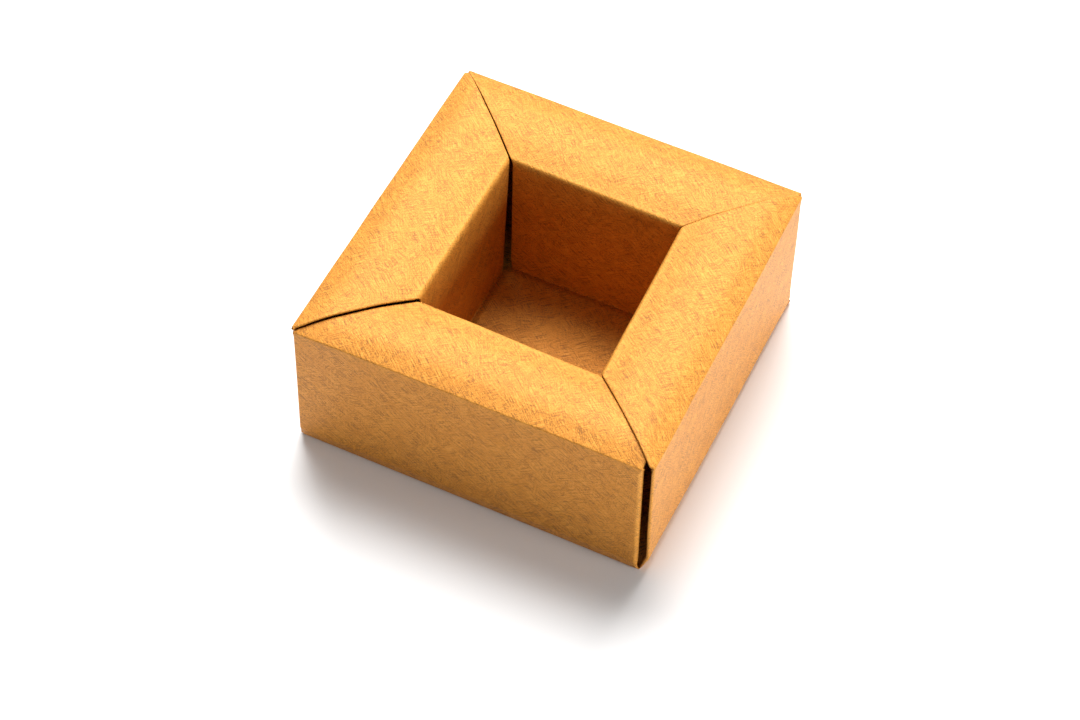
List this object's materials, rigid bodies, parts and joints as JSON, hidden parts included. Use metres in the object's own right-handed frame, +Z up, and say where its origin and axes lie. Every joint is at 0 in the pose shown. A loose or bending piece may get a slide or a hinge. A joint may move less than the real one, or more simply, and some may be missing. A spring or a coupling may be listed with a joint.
{
  "type": "folded paper masu box",
  "caption": "Open square box folded from one sheet, with hollow walls, a broad springy rim with mitred seams and a plain floor.",
  "frame": {"origin": "middle of the underside, on the surface that the box stands on", "axes": "+Z up out of the open top, +X towards the right side wall, -Y towards the front"},
  "size_m": [0.055, 0.053, 0.0256],
  "materials": {
    "copper_paper": "pearl lustre copper-orange paper with fine random fibres"
  },
  "bodies": {
    "root": {"folded_box": "copper_paper"}
  },
  "joints": []
}
